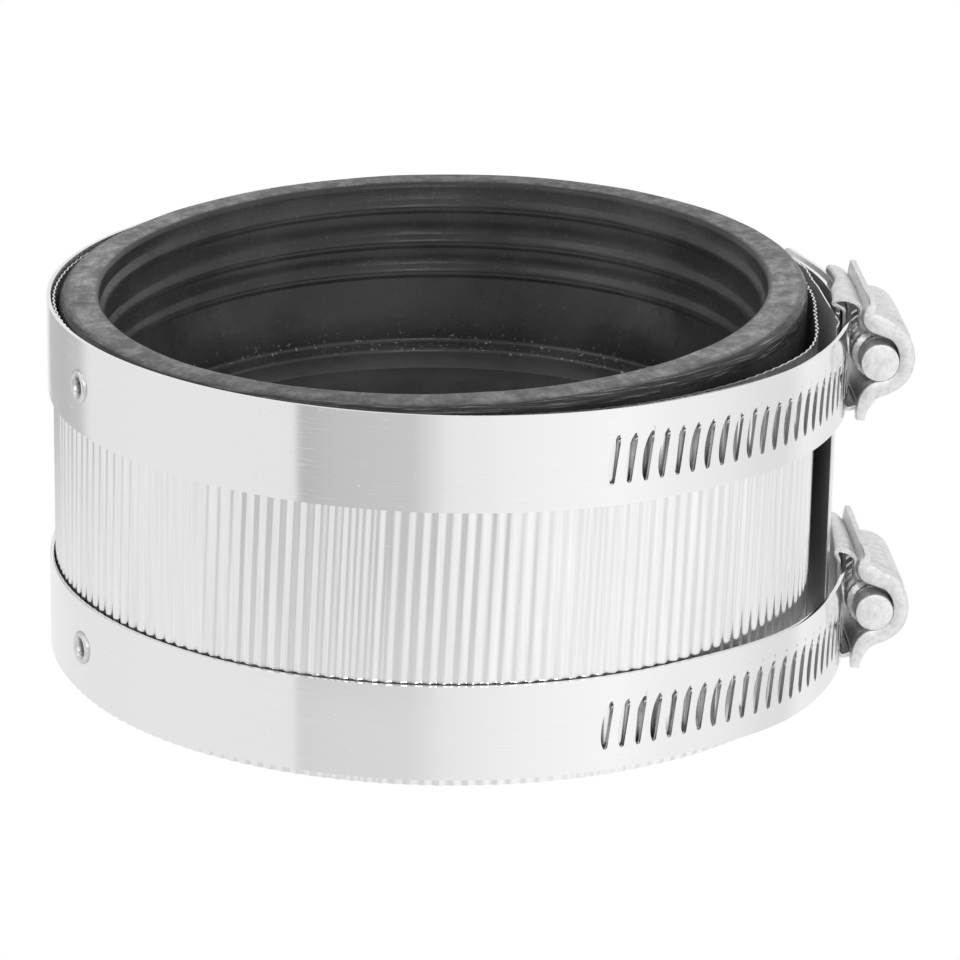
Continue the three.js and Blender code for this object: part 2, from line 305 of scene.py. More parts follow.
def build_sleeve():
    """The sleeve, turned from its profile, a little oval and with its upper rim sloping."""
    sides = 240
    half = (SLEEVE_HIGH[2] - SLEEVE_LOW[2]) / 2
    upper = sleeve_half_profile(half)
    lower = [point * (1, -1) for point in reversed(upper)]
    profile = np.array(upper + lower[:-1])
    angle = np.arange(sides) * TURN / sides
    radius = profile[:, 0][:, None] + SLEEVE_OVAL * np.sin(np.radians(angle))[None, :] ** 2
    wobble = sum(rise * np.sin(np.radians(angle * count + phase)) for rise, count, phase in RIM_RIPPLES)
    near_rim = blend(np.abs(profile[:, 1]), half - RIM_RIPPLES_REACH, half)[:, None]
    height = profile[:, 1][:, None] + SLEEVE_MIDDLE
    height = height - near_rim * np.sign(profile[:, 1])[:, None] * np.abs(wobble)[None, :]
    points = polar(radius, angle[None, :], height)
    points[..., 0] += SLEEVE_X
    share = (profile[:, 1] + half) / (2 * half)
    points[..., 2] += points[..., :2] @ SLEEVE_LEAN * share[:, None]
    obj = place("sleeve_rubber", points, grid_faces(len(profile), sides, True, True))
    return smooth(outward(obj), 40)


# ---------------------------------------------------------------- corrugated shield

OUTER_END_R = 66.6
OUTER_TIP_R = 67.9
OUTER_CHORD = 65.15
OUTER_CHORD_ANGLE = 6.0
INNER_END_R = 63.6
INNER_TIP_LIFT = 1.0
OUTER_END_MEETS_RING = (45, 65)
INNER_END_TURNS_IN = (332, 356)
INNER_TIP_LIFTS = (365, 385)
SHIELD_TIP = -13.0
SHIELD_FLAT_TO = 9.0
SHIELD_FLAT_FROM = 371.5
SHIELD_END = 382.5
# Angles over which the waves rise out of the flat ends: before the flat stops and after.
WAVES_RISE = (0.5, 2.0)
# The waved part lies this much further in than the flat ends.
WAVES_SINK = 0.1
WAVE_STEPS = 12
SHEET = 0.22
WAVE_PITCH = 2.03
WAVE_HEIGHT = 0.26
WAVE_SHARPNESS = 0.97
WAVE_SKEW = 0.035
WAVE_UNEVENNESS = 0.2
# The waves stand higher where no band flattens them, at the inner end.
FREE_WAVE_GAIN = 1.7
FREE_WAVES_FROM = (332, 348)


def shield_radius(angle):
    """Outer radius of the shield's envelope."""
    chord = OUTER_CHORD / np.cos(np.radians(np.clip(angle, -30, 60) - OUTER_CHORD_ANGLE))
    around = (
        OUTER_END_R
        + blend(angle, *OUTER_END_MEETS_RING) * (SHIELD_R - OUTER_END_R)
        - blend(angle, *INNER_END_TURNS_IN) * (SHIELD_R - INNER_END_R)
        + blend(angle, *INNER_TIP_LIFTS) * INNER_TIP_LIFT
    )
    furthest = np.where(angle < OUTER_CHORD_ANGLE, OUTER_TIP_R, OUTER_END_R)
    sprung = np.minimum(chord, furthest)
    return np.where(angle < OUTER_END_MEETS_RING[0], sprung, around)


def build_shield():
    """The shield: a thin sheet pressed into upright waves, flat at both ends and pierced at the eyelets."""
    rows = 13
    height = np.linspace(SHIELD_LOW[2], SHIELD_HIGH[2], rows)
    outer_flat = np.linspace(SHIELD_TIP, SHIELD_FLAT_TO, 30)
    inner_flat = np.linspace(SHIELD_FLAT_FROM, SHIELD_END, 16)
    waves = int((SHIELD_FLAT_FROM - SHIELD_FLAT_TO) / WAVE_PITCH)
    folded = np.linspace(SHIELD_FLAT_TO, SHIELD_FLAT_FROM, waves * WAVE_STEPS + 1)[1:-1]
    angle = np.concatenate([outer_flat, folded, inner_flat])
    before, after = WAVES_RISE
    strength = blend(angle, SHIELD_FLAT_TO - before, SHIELD_FLAT_TO + after)
    strength = strength - blend(angle, SHIELD_FLAT_FROM - after, SHIELD_FLAT_FROM + before)
    heights = np.interp(angle, np.linspace(-20, 390, waves), rng.standard_normal(waves))
    uneven = 1 + WAVE_UNEVENNESS * heights
    uneven = uneven * (1 + (FREE_WAVE_GAIN - 1) * blend(angle, *FREE_WAVES_FROM))
    phase = (angle[None, :] - WAVE_SKEW * height[:, None]) * TURN / WAVE_PITCH
    wave = np.arcsin(WAVE_SHARPNESS * np.sin(np.radians(phase))) / math.asin(WAVE_SHARPNESS)
    middle = shield_radius(angle) - WAVE_HEIGHT / 2 - SHEET / 2 - WAVES_SINK * strength
    flat_shift = (1 - strength) * (WAVE_HEIGHT / 2)
    radius = middle[None, :] + flat_shift[None, :] + wave * (strength * uneven)[None, :] * WAVE_HEIGHT / 2
    points = polar(radius, angle[None, :], height[:, None])
    obj = place("shield_sheet", points, grid_faces(rows, len(angle)))
    modify(obj, "SOLIDIFY", thickness=SHEET * MM, offset=0.0)
    outward(obj)
    for clamp in CLAMPS:
        hole_at = clamp.middle + clamp.lift
        hole_r = EYELET_HOLE_R + 0.2
        cut(obj, radial_cylinder(hole_r, SHIELD_R - 2, SHIELD_R + 1, EYELET_ANGLE, hole_at))
    return smooth(obj, 50)


# ---------------------------------------------------------------- slotted bands

FIXED_END_R = OUTER_END_R + LAYER_GAP + BAND_THICKNESS
FIXED_END_MEETS_RING = (40, 60)
FREE_END_RISES = (305, 330)
BAND_START = -5.0
TAIL_LEAVES = 381.0
TAIL_TIP = 391.0
TAIL_CORNER = 2.6
BAND_CROWN = 0.04
BAND_HOLE_R = 1.9
# Angles over which the upper band's lift grows and fades.
LIFT_GROWS = (25, 75)
LIFT_FADES = (215, 330)
SLOT_COUNT = 37
SLOT_FIRST = 294.0
SLOT_PITCH = 2.57
SLOT_WIDTH = 1.62
SLOT_END_WIDTH = 0.38
SLOT_HALF_LENGTH = 4.15
SLOT_TIP = 0.3
SLOT_SLANT = math.tan(math.radians(8))
SLOT_DROP = 0.45
# Rings of points round a slot, from the edge of its cell to its outline.
SLOT_RINGS = (0, 0.35, 0.7, 0.93, 1)


def band_radius(angle, free_radius):
    """Outer radius of a band, the same as the CAD band's."""
    on_shield = blend(angle, *FIXED_END_MEETS_RING) * (BAND_R - FIXED_END_R)
    free = blend(angle, *FREE_END_RISES) * (free_radius - BAND_R)
    tail = 1 / np.cos(np.radians(np.maximum(angle - TAIL_LEAVES, 0)))
    return (FIXED_END_R + on_shield + free) * tail


def slot_outline(side_steps, end_steps):
    """Outline of a slot, anticlockwise from its lower left: straight on the right, bowed on the left."""
    reach = SLOT_HALF_LENGTH - SLOT_TIP
    right = [(SLOT_WIDTH / 2, z) for z in np.linspace(-reach, reach, side_steps + 1)]
    left = []
    for z in np.linspace(reach, -reach, side_steps + 1):
        bow = math.sqrt(max(0.0, 1 - (z / SLOT_HALF_LENGTH) ** 2)) ** 1.1
        left.append((SLOT_WIDTH / 2 - SLOT_END_WIDTH - (SLOT_WIDTH - SLOT_END_WIDTH) * bow, z))
    low_left, high_left = left[-1], left[0]

    def end(start, stop, way):
        """Points of the half ellipse between the two sides at one end."""
        middle = ((start[0] + stop[0]) / 2, start[1])
        half = (start[0] - stop[0]) / 2
        turn = np.linspace(0, math.pi, end_steps + 1)[1:-1]
        tip = way * SLOT_TIP
        return [(middle[0] + half * math.cos(a), middle[1] + tip * math.sin(a)) for a in turn]

    low = end(low_left, right[0], -1)
    high = end(right[-1], high_left, 1)
    outline = [low_left] + low + right + high + left[:-1]
    return np.array([(s + SLOT_SLANT * z, z - SLOT_DROP) for s, z in outline])


def cell_boundary(half_arc, half_width, side_steps, end_steps):
    """Outline of a slot's cell, with as many points as the slot's outline and in the same order."""
    across = np.linspace(-half_arc, half_arc, end_steps + 1)
    up = np.linspace(-half_width, half_width, side_steps + 1)
    low = [(s, -half_width) for s in across]
    right = [(half_arc, z) for z in up[1:]]
    high = [(s, half_width) for s in across[::-1][1:]]
    left = [(-half_arc, z) for z in up[::-1][1:-1]]
    return np.array(low + right + high + left)


# A face of a band counts as one of its wide faces if its normal is this close to the band's own.
WIDE_FACE = 0.97


def even_normals(obj, clamp):
    """Gives a band's wide faces the normals of its own curve, so that the slots leave no dents in them."""
    mesh = obj.data
    points = (np.array([v.co for v in mesh.vertices]) - np.array(RING_AXIS)) / MM
    radius = np.hypot(points[:, 0], points[:, 1])
    angle = np.degrees(np.arctan2(points[:, 1], points[:, 0]))
    # near +X the fixed end lies inside the free end, whose angles run on past a full turn
    fixed_end = radius < (FIXED_END_R + clamp.free_radius - BAND_THICKNESS) / 2
    past_turn = (angle < BAND_START - 1) | ((angle < TAIL_TIP - TURN + 1) & ~fixed_end)
    turned = np.where(past_turn, angle + TURN, angle)
    step = 0.1
    ahead = band_radius(turned + step, clamp.free_radius)
    behind = band_radius(turned - step, clamp.free_radius)
    slope = (ahead - behind) / (np.radians(2 * step) * radius)
    out = polar(1.0, angle, 0.0) - slope[:, None] * polar(1.0, angle + 90, 0.0)
    out[:, 2] = 2 * BAND_CROWN * (points[:, 2] - clamp.middle - clamp.lift) / (clamp.width / 2) ** 2
    out /= np.linalg.norm(out, axis=1)[:, None]
    normals = np.zeros_like(out)
    for face in mesh.polygons:
        corners = list(face.vertices)
        side = np.array(face.normal) @ out[corners[0]]
        if abs(side) > WIDE_FACE:
            normals[corners] = math.copysign(1.0, side) * out[corners]
    mesh.normals_split_custom_set_from_vertices(normals.tolist())
    return obj


def build_band(clamp):
    """A band: a flat map of angle and height with its slots left out, wrapped round and thickened."""
    side_steps, end_steps = 12, 4
    half_width = clamp.width / 2
    bow = np.linspace(-half_width, half_width, side_steps + 1)
    flat_points, faces = [], []

    def add_grid(angles):
        """A stretch without slots; its corners are rounded at the tip of the tail."""
        start = len(flat_points)
        for angle in angles:
            near_tip = max(0.0, 1 - (TAIL_TIP - angle) / math.degrees(TAIL_CORNER / clamp.free_radius))
            squeeze = 1 - (1 - math.sqrt(1 - near_tip**2 * 0.98)) * TAIL_CORNER / half_width
            flat_points.extend((angle, z * squeeze) for z in bow)
        faces.extend(face[::-1] for face in grid_faces(len(angles), len(bow), start=start))

    slot_end = SLOT_FIRST + (SLOT_COUNT - 0.5) * SLOT_PITCH
    slot_start = SLOT_FIRST - 0.5 * SLOT_PITCH
    add_grid(np.linspace(BAND_START, slot_start, 300))
    add_grid(np.linspace(slot_end, TAIL_TIP, 12))
    outline = slot_outline(side_steps, end_steps)
    for i in range(SLOT_COUNT):
        centre = SLOT_FIRST + i * SLOT_PITCH
        per_mm = math.degrees(1 / band_radius(centre, clamp.free_radius))
        boundary = cell_boundary(SLOT_PITCH / 2 / per_mm, half_width, side_steps, end_steps)
        rings = [boundary + (outline - boundary) * share for share in SLOT_RINGS]
        start = len(flat_points)
        for ring in rings:
            flat_points.extend((centre + s * per_mm, z) for s, z in ring)
        faces.extend(grid_faces(len(rings), len(boundary), wrap_columns=True, start=start))
    flat = np.array(flat_points)
    radius = band_radius(flat[:, 0], clamp.free_radius) - BAND_THICKNESS / 2
    crown = BAND_CROWN * (1 - (flat[:, 1] / half_width) ** 2)
    lift = clamp.lift * (1 - blend(flat[:, 0], *LIFT_FADES)) * blend(flat[:, 0], *LIFT_GROWS)
    points = polar(radius + crown, flat[:, 0], clamp.middle + flat[:, 1] + lift)
    obj = place(clamp.name + "_band_strip", points, faces)
    modify(obj, "WELD", merge_threshold=0.01 * MM)
    modify(obj, "SOLIDIFY", thickness=BAND_THICKNESS * MM, offset=0.0)
    outward(obj)
    hole_at = clamp.middle + clamp.lift
    cut(obj, radial_cylinder(BAND_HOLE_R, BAND_R - 2, BAND_R + 2, EYELET_ANGLE, hole_at))
    bevel(obj, 0.09, 2, 50)
    smooth(obj, 60)
    return even_normals(obj, clamp)


# ---------------------------------------------------------------- eyelets

def lathe(profile, sides, closed):
    """Points and faces of a profile of (radius, along) turned about the x axis.

    A closed profile gives a ring.
    """
    profile = np.asarray(profile, float)
    turn = np.arange(sides) * 2 * math.pi / sides
    points = [(along, r * math.cos(a), r * math.sin(a)) for r, along in profile for a in turn]
    return np.array(points), grid_faces(len(profile), sides, closed, True)


def build_eyelet(clamp):
    """An eyelet rivet that holds a band to the shield."""
    base = SHIELD_R - WAVE_HEIGHT - SHEET - 0.12
    face = BAND_R + 0.02
    # the flange rolls over from the band's face into the hole
    across, along = EYELET_ROLL
    roll = []
    for turn in np.linspace(-0.5, 2.6, 14):
        roll.append((EYELET_FLANGE_R + across * math.cos(turn), face + 0.1 + along * math.sin(turn)))
    neck = [(EYELET_HOLE_R + 0.08, face), (EYELET_HOLE_R, face - 0.5), (EYELET_HOLE_R, base)]
    back = [(2.5, base), (2.55, base + 0.12), (2.4, base + 0.3), (1.85, base + 0.34), (1.85, face)]
    points, faces = lathe(roll + neck + back, 48, True)
    points = points @ np.array(Matrix.Rotation(math.radians(EYELET_ANGLE), 3, "Z")).T
    obj = place(clamp.name + "_eyelet_rivet", points + (0, 0, clamp.middle + clamp.lift), faces)
    return smooth(outward(obj), 40)


# ---------------------------------------------------------------- worm heads
# Head frame: x outwards from the outer face of the band's free end, y along the screw, z from the
# band's middle.

HOUSING_FRONT = -12.5
HOUSING_REAR = 10.2


def head_points(clamp, points):
    """From the head's frame to the coupling's frame."""
    local = np.asarray(points, float).reshape(-1, 3) + (clamp.free_radius, 0, 0)
    turned = local @ np.array(Matrix.Rotation(math.radians(clamp.head_angle), 3, "Z")).T
    return turned + (0, 0, clamp.middle)


# Each row is x, z and half the thickness, from the lower foot over the screw to the upper flange.
LIP = [
    (1.3, -10.4, 0.75), (1.5, -8.8, 0.95), (2.1, -7.0, 1.25), (3.5, -5.2, 1.5), (6.3, -4.2, 1.3),
    (8.25, -2.4, 1.3), (8.95, 0.1, 1.35), (8.5, 2.7, 1.35), (7.0, 4.9, 1.45), (4.8, 6.1, 1.65),
    (3.0, 7.0, 1.75), (2.2, 8.5, 1.15), (2.6, 10.2, 0.6), (2.15, 12.0, 0.5),
]
BARREL = [
    (1.3, -9.8, 0.6), (1.5, -8.4, 0.6), (1.7, -7.0, 0.6), (2.6, -5.2, 0.6), (6.7, -4.7, 0.6),
    (8.8, -2.7, 0.6), (9.6, 0.1, 0.6), (9.4, 3.1, 0.6), (7.7, 5.5, 0.6), (4.9, 6.5, 0.6),
    (2.7, 6.1, 0.6), (1.6, 7.3, 0.6), (1.8, 9.2, 0.6), (2.15, 11.6, 0.5),
]
NECK_SINKS = 1.1


def neck_rows():
    """The barrel's section where it meets the lip: sunk a little over the screw."""
    rows = []
    for x, z, half in BARREL:
        over = float(blend(z, -1.0, 3.0) * (1 - blend(z, 6.5, 8.0)))
        rows.append((x - NECK_SINKS * over, z - NECK_SINKS * over, half))
    return rows


def loft_sheet(name, clamp, stations, samples=72):
    """A closed body through sheet sections; each station is (y, rows of x, z and half thickness, scale)."""
    points = []
    for y, rows, squeeze in stations:
        curve = spline(rows, samples)
        step = np.gradient(curve[:, :2], axis=0)
        normal = np.stack([step[:, 1], -step[:, 0]], axis=1)
        normal /= np.linalg.norm(normal, axis=1)[:, None]
        half = curve[:, 2][:, None] * squeeze
        outer = curve[:, :2] + normal * half
        inner = curve[:, :2] - normal * half
        loop = np.vstack([outer, inner[::-1]])
        points.append(np.stack([loop[:, 0], np.full(len(loop), y), loop[:, 1]], axis=1))
    count = 2 * samples
    faces = grid_faces(len(points), count, wrap_columns=True)
    last = (len(points) - 1) * count
    for j in range(samples - 1):
        faces.append((j, count - 1 - j, count - 2 - j, j + 1))
        faces.append((last + j, last + j + 1, last + count - 2 - j, last + count - 1 - j))
    obj = place(name, head_points(clamp, np.vstack(points)), faces)
    return outward(obj)


def mix_rows(a, b, share):
    """Rows between two lists of rows: a where the share is 0 and b where it is 1."""
    return (np.asarray(a) * (1 - share) + np.asarray(b) * share).tolist()


# Punched holes in a housing's upper flange: places along the screw, x and z of their row, radius,
# lengthening along the screw, half the depth of the cut and its direction.
PUNCH_AT = (-7.6, -4.4, 6.4)
PUNCH_ROW = (1.75, 7.4)
PUNCH_R = 0.85
PUNCH_STRETCH = 1.5
PUNCH_REACH = 2.4
PUNCH_ALONG = (1.0, 0.0, 0.45)


def punch(clamp, middle, sides=24):
    """A closed oval cylinder through a point of the head's frame, across the housing's flange."""
    turn = np.arange(sides) * 2 * math.pi / sides
    ring = np.stack([PUNCH_R * np.cos(turn), PUNCH_STRETCH * PUNCH_R * np.sin(turn)], axis=1)
    axis = Vector(PUNCH_ALONG).normalized()
    wide = axis.cross(Vector((0, 1, 0))).normalized()
    points = []
    for reach in (-PUNCH_REACH, PUNCH_REACH):
        for a, b in ring:
            points.append(np.array(middle) + a * np.array(wide) + (0, b, 0) + reach * np.array(axis))
    return place("cutter", head_points(clamp, points), tube_faces(2, sides))


def build_housing(clamp):
    """The pressed cover over a screw: a thick lip in front, a neck behind it, and the barrel."""
    neck = neck_rows()
    stations = [
        (HOUSING_FRONT, LIP, 0.8),
        (HOUSING_FRONT + 0.18, LIP, 0.95),
        (HOUSING_FRONT + 0.5, LIP, 1.0),
        (HOUSING_FRONT + 1.8, LIP, 1.0),
        (HOUSING_FRONT + 2.2, mix_rows(LIP, neck, 0.35), 0.97),
        (HOUSING_FRONT + 2.6, mix_rows(LIP, neck, 0.85), 0.95),
        (HOUSING_FRONT + 3.2, neck, 1.0),
        (HOUSING_FRONT + 4.1, mix_rows(neck, BARREL, 0.35), 1.0),
        (HOUSING_FRONT + 5.4, BARREL, 1.0),
        (0.0, BARREL, 1.0),
        (HOUSING_REAR - 0.5, BARREL, 1.0),
        (HOUSING_REAR, BARREL, 0.95),
    ]
    obj = loft_sheet(clamp.name + "_housing_cover", clamp, stations)
    for y in PUNCH_AT:
        cut(obj, punch(clamp, (PUNCH_ROW[0], y, PUNCH_ROW[1])))
    bevel(obj, 0.2, 3, 50)
    return smooth(obj, 45)


# The saddle's section, in rows of x, z and half the thickness. The bottom comes from outside the band round
# its lower edge, and the top runs on up inside the band and over its upper edge.
SADDLE_TOP = [
    (-1.15, 0.0, 0.28), (-1.15, 4.0, 0.28), (-1.15, 7.6, 0.28), (-1.35, 8.65, 0.3), (-2.3, 9.25, 0.32),
    (-3.1, 9.8, 0.34), (-2.5, 10.35, 0.36), (-1.0, 10.5, 0.38), (0.35, 10.0, 0.36), (1.05, 8.9, 0.3),
    (1.1, 7.6, 0.28),
]
SADDLE_BOTTOM = [
    (1.05, -7.6, 0.28), (1.0, -8.5, 0.32), (0.2, -9.05, 0.36), (-0.8, -8.8, 0.32), (-1.15, -8.0, 0.28),
    (-1.15, -4.0, 0.28),
]
SADDLE_FROM, SADDLE_TO = -10.2, 9.8
# Share of the inward bulge at the upper edge that each saddle has in front, and the part of it that is lost
# towards the rear. The bulge starts at this x.
BEAD = {"upper": 1.0, "lower": 0.3}
BEAD_LOST = 0.8
BEAD_FADES = (-4, 4)
BEAD_STARTS = -1.2
# Inside this x the saddle follows the band's curve, and beyond it the saddle is straight.
STRAIGHTENS = (-0.2, 1.4)


def build_saddle(clamp):
    """The saddle under a screw: a channel that follows the band and wraps over both its edges."""
    stations = []
    for y in np.linspace(SADDLE_FROM, SADDLE_TO, 21):
        sag = clamp.free_radius - math.sqrt(clamp.free_radius**2 - y**2)
        bead = BEAD[clamp.name] * (1 - BEAD_LOST * float(blend(y, *BEAD_FADES)))
        bent = []
        for x, z, half in SADDLE_BOTTOM + SADDLE_TOP:
            bulge = min(x - BEAD_STARTS, 0.0) * (bead - 1)
            follows_band = float(1 - blend(x, *STRAIGHTENS))
            bent.append((x + bulge - sag * follows_band, z, half))
        stations.append((y, bent, 1.0))
    obj = loft_sheet(clamp.name + "_saddle_channel", clamp, stations, 110)
    bevel(obj, 0.12, 2, 50)
    return smooth(obj, 45)


# Radius of the flat in the middle of each end of the screw.
SCREW_CENTRE_R = 0.4
WORM_R = 4.1
WORM_ROOT = 3.1
WORM_PITCH = 3.1
WORM_FROM, WORM_TO = -9.4, 7.4
WORM_RUNS_OUT = 1.2
WORM_STEP = 0.14
CREST_WIDTH = 1.1
TIP_R, TIP_FROM = 3.3, -13.1
TIP_CHAMFER = 0.35
JOURNAL_R = 3.0
HEX_FROM, HEX_TO = 10.9, 17.0
HEX_HALF_FLATS = 4.0
# The hexagon's corners are turned down to this radius, and further towards both ends.
HEX_CORNER_R = 5.1
HEX_CHAMFER = 0.9
HEX_CHAMFER_LENGTHS = (0.5, 0.9)
HEX_SLOT = (1.3, 1.6)


def screw_radius(y, turn):
    """Radius of the screw's surface at a place along it, for an array of turns from 0 to 1."""
    if y < WORM_FROM or WORM_TO < y < HEX_FROM:
        return np.full_like(turn, TIP_R if y < WORM_FROM else JOURNAL_R)
    if y > WORM_TO:
        facet = (turn * 6 % 1 - 0.5) * math.pi / 3
        inner, outer = HEX_CHAMFER_LENGTHS
        to_end = max(0.0, y - (HEX_TO - outer))
        to_start = max(0.0, HEX_FROM + inner - y)
        chamfer = HEX_CORNER_R - HEX_CHAMFER * to_end - HEX_CHAMFER * to_start
        return np.minimum(HEX_HALF_FLATS / np.cos(facet), chamfer)
    wave = np.cos(2 * math.pi * (y / WORM_PITCH - turn))
    crest = np.clip(0.5 + CREST_WIDTH * wave, 0, 1)
    runs_in = blend(y, WORM_FROM, WORM_FROM + WORM_RUNS_OUT)
    runs_out = 1 - blend(y, WORM_TO - WORM_RUNS_OUT, WORM_TO)
    return WORM_ROOT + (WORM_R - WORM_ROOT) * crest * float(runs_in * runs_out)


def build_screw(clamp):
    """A worm screw: a round tip, the thread, a plain journal and a slotted hexagon head."""
    sides = 96
    turn = np.arange(sides) / sides
    along = [TIP_FROM + TIP_CHAMFER] + list(np.arange(WORM_FROM, WORM_TO, WORM_STEP))
    along += [WORM_TO, WORM_TO + 0.01, HEX_FROM - 0.01]
    along += list(np.linspace(HEX_FROM, HEX_FROM + 0.6, 5)) + list(np.linspace(HEX_TO - 1, HEX_TO, 9))
    rings = [(TIP_FROM, np.full(sides, SCREW_CENTRE_R))]
    rings.append((TIP_FROM, np.full(sides, TIP_R - TIP_CHAMFER)))
    rings.append((TIP_FROM + 0.1, np.full(sides, TIP_R - 0.1)))
    rings += [(y, screw_radius(y, turn)) for y in along]
    rings.append((WORM_FROM - 0.01, np.full(sides, TIP_R)))
    rings.sort(key=lambda ring: (ring[0], ring[1].max()))
    rings.append((HEX_TO, np.full(sides, SCREW_CENTRE_R)))
    across, up = np.sin(2 * math.pi * turn), np.cos(2 * math.pi * turn)
    points = []
    for y, radius in rings:
        ring = np.stack([radius * across, np.full(sides, y), radius * up], axis=1)
        points.append(ring + (SCREW_OFFSET, 0, 0))
    faces = tube_faces(len(points), sides)
    obj = place(clamp.name + "_screw_worm", head_points(clamp, np.vstack(points)), faces)
    outward(obj)
    width, depth = HEX_SLOT
    x, z = np.array([-6.0, 6.0]) + SCREW_OFFSET, np.array([-width, width]) / 2
    corners = [(a, b, c) for a in x for b in (HEX_TO - depth, HEX_TO + 1) for c in z]
    box_faces = [(0, 1, 3, 2), (4, 6, 7, 5), (0, 4, 5, 1), (2, 3, 7, 6), (0, 2, 6, 4), (1, 5, 7, 3)]
    cut(obj, place("cutter", head_points(clamp, corners), box_faces))
    return smooth(obj, 32)


# ---------------------------------------------------------------- node trees

class Value:
    """A number or vector in a node tree. Arithmetic on it adds math nodes."""

    def __init__(self, nodes, socket):
        self.nodes = nodes
        self.socket = socket

    def __add__(self, other):
        return self.nodes.math("ADD", self, other)

    def __sub__(self, other):
        return self.nodes.math("SUBTRACT", self, other)

    def __rsub__(self, other):
        return self.nodes.math("SUBTRACT", other, self)

    def __mul__(self, other):
        return self.nodes.math("MULTIPLY", self, other)

    def __truediv__(self, other):
        return self.nodes.math("DIVIDE", self, other)

    def __abs__(self):
        return self.nodes.math("ABSOLUTE", self)


class Nodes:
    """Short calls for building a node tree."""

    def __init__(self, tree):
        self.tree = tree

    def add(self, kind, **settings):
        """A new node."""
        node = self.tree.nodes.new(kind)
        for key, value in settings.items():
            setattr(node, key, value)
        return node

    def link(self, source, target):
        """Feeds a value or a plain number into an input."""
        if isinstance(source, Value):
            self.tree.links.new(source.socket, target)
        else:
            target.default_value = source

    def output(self, kind, name):
        """One output of a new input node."""
        return Value(self, self.add(kind).outputs[name])

    def math(self, operation, a, b=0.0):
        """One or two values through a math node."""
        node = self.add("ShaderNodeMath", operation=operation)
        self.link(a, node.inputs[0])
        self.link(b, node.inputs[1])
        return Value(self, node.outputs[0])

    def above(self, value, limit):
        """1 where a value is above a limit, else 0."""
        return self.math("GREATER_THAN", value, limit)

    def below(self, value, limit):
        """1 where a value is below a limit, else 0."""
        return self.math("LESS_THAN", value, limit)

    def noise(self, vector, scale, detail, roughness):
        """Cloud noise about 0.5."""
        node = self.add("ShaderNodeTexNoise")
        self.link(vector, node.inputs["Vector"])
        node.inputs["Scale"].default_value = scale
        node.inputs["Detail"].default_value = detail
        node.inputs["Roughness"].default_value = roughness
        return Value(self, node.outputs["Fac"])

    def ramp(self, value, *stops):
        """Maps a value through stops of (position, grey)."""
        node = self.add("ShaderNodeValToRGB")
        elements = node.color_ramp.elements
        while len(elements) < len(stops):
            elements.new(0.5)
        for element, (position, grey) in zip(elements, stops):
            element.position = position
            element.color = (grey, grey, grey, 1)
        self.link(value, node.inputs[0])
        return Value(self, node.outputs[0])

    def mix(self, share, a, b):
        """Mix of two numbers: a where the share is 0 and b where it is 1."""
        node = self.add("ShaderNodeMix", data_type="FLOAT")
        for value, socket in zip((share, a, b), (node.inputs[0], node.inputs[2], node.inputs[3])):
            self.link(value, socket)
        return Value(self, node.outputs[0])

    def vector(self, x, y, z):
        """A vector, or a colour, from three numbers."""
        node = self.add("ShaderNodeCombineXYZ")
        for value, socket in zip((x, y, z), node.inputs):
            self.link(value, socket)
        return Value(self, node.outputs[0])

    def split(self, vector):
        """The three numbers of a vector."""
        node = self.add("ShaderNodeSeparateXYZ")
        self.link(vector, node.inputs[0])
        return [Value(self, socket) for socket in node.outputs]


# ---------------------------------------------------------------- materials

class Material(Nodes):
    """Node tree of a material on one principled shader."""

    def __init__(self, name):
        self.material = bpy.data.materials.new(name)
        self.material.use_nodes = True
        super().__init__(self.material.node_tree)
        self.shader = self.tree.nodes["Principled BSDF"]

    def position(self, centre_x=0.0):
        """Millimetres about an upright axis: x, y, z, radius and angle in radians."""
        x, y, z = self.split(self.output("ShaderNodeTexCoord", "Object"))
        x = (x - (RING_AXIS[0] + centre_x * MM)) * (1 / MM)
        y = (y - RING_AXIS[1]) * (1 / MM)
        radius = self.math("SQRT", x * x + y * y)
        return x, y, z * (1 / MM), radius, self.math("ARCTAN2", y, x)

    def normal(self):
        """The three numbers of the surface's normal."""
        return self.split(self.output("ShaderNodeNewGeometry", "Normal"))

    def bump(self, height, strength, distance):
        """Fine relief; the distance is in millimetres."""
        node = self.add("ShaderNodeBump")
        node.inputs["Strength"].default_value = strength
        node.inputs["Distance"].default_value = distance * MM
        self.link(height, node.inputs["Height"])
        self.link(Value(self, node.outputs[0]), self.shader.inputs["Normal"])

    def set(self, **values):
        """Feeds the shader's inputs and gives the finished material."""
        for key, value in values.items():
            self.link(value, self.shader.inputs[key.replace("_", " ")])
        return self.material


BANDS_MIDDLE = (CLAMPS[0].middle + CLAMPS[1].middle) / 2
BANDS_APART = CLAMPS[0].middle - CLAMPS[1].middle


